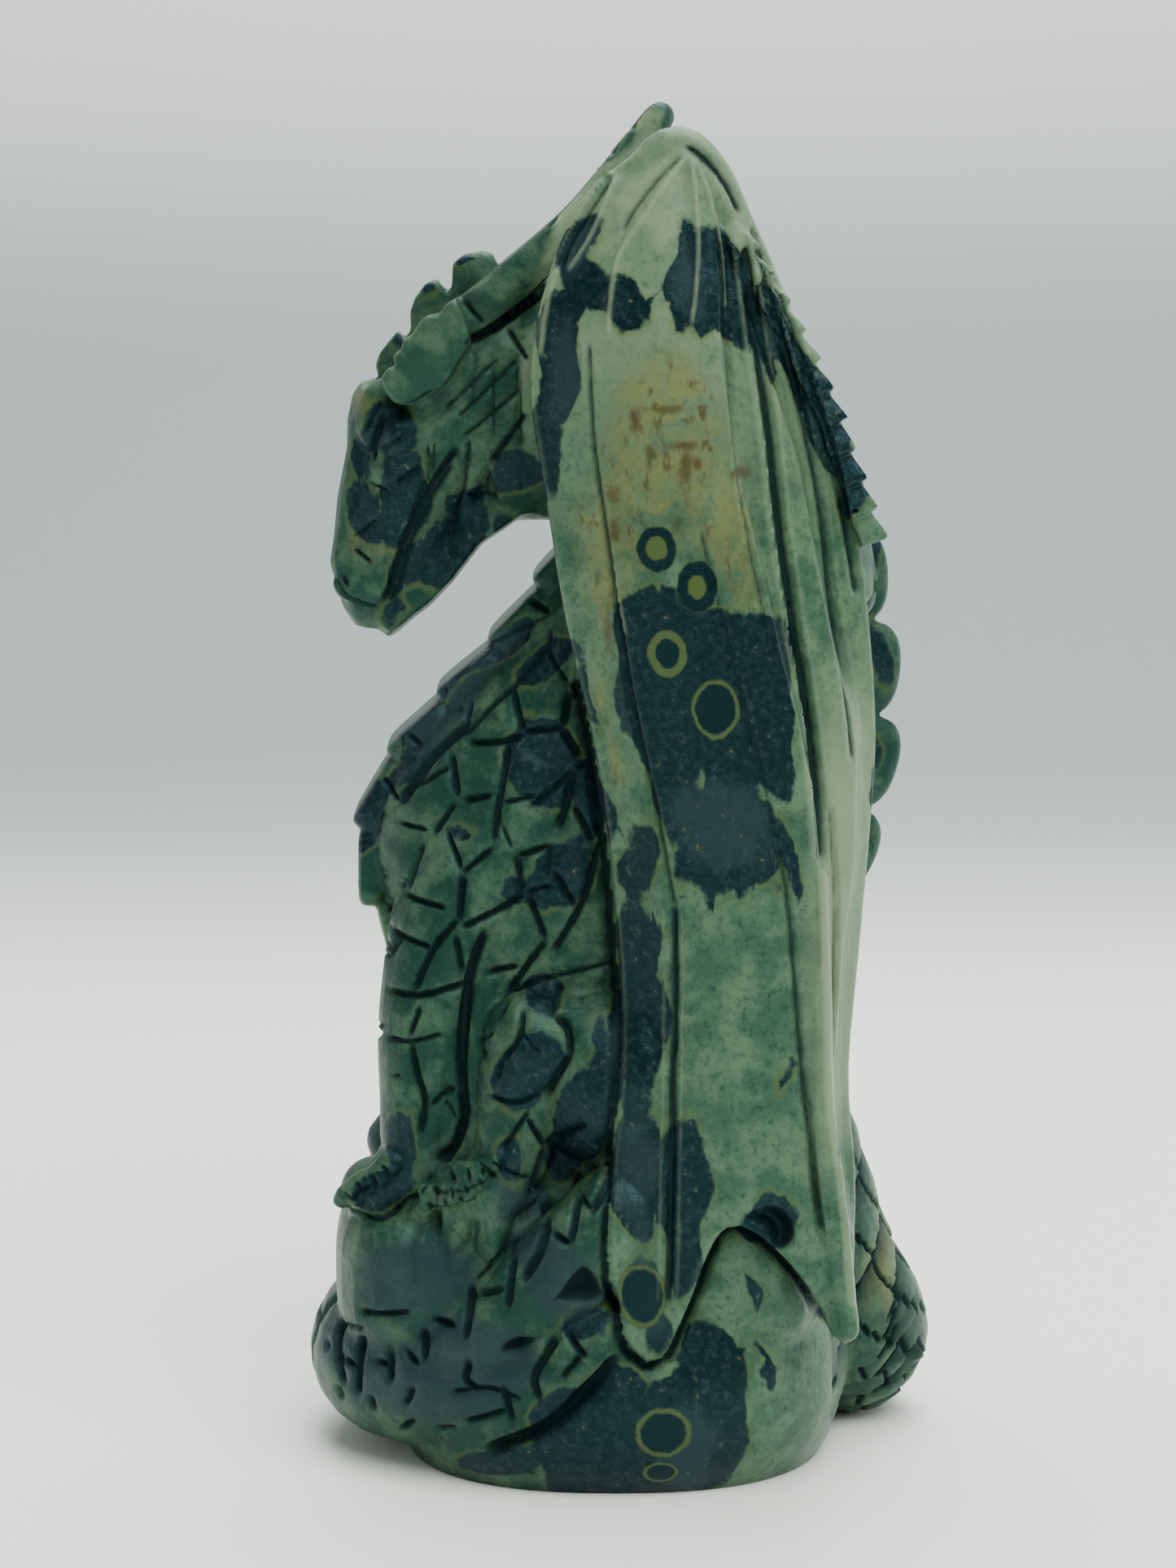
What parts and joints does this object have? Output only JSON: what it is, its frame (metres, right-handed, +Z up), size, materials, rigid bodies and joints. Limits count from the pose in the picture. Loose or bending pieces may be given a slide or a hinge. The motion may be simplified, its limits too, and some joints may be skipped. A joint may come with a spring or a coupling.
{
  "type": "winged dragon carving",
  "caption": "Seated winged dragon with tucked head, tall folded wings and a tail coiled round a flat-based rock, carved from one block of green jasper.",
  "frame": {"origin": "middle of the flat underside, where the carving rests", "axes": "+Z up, the dragon faces -X and its left side, the side of the picture, is -Y"},
  "size_m": [0.078, 0.0613, 0.1653],
  "materials": {
    "jasper": "green jasper with dark orbs and blotches, polished on the wings and the rock, satin on the scales"
  },
  "bodies": {
    "root": {"dragon": "jasper"}
  },
  "joints": []
}
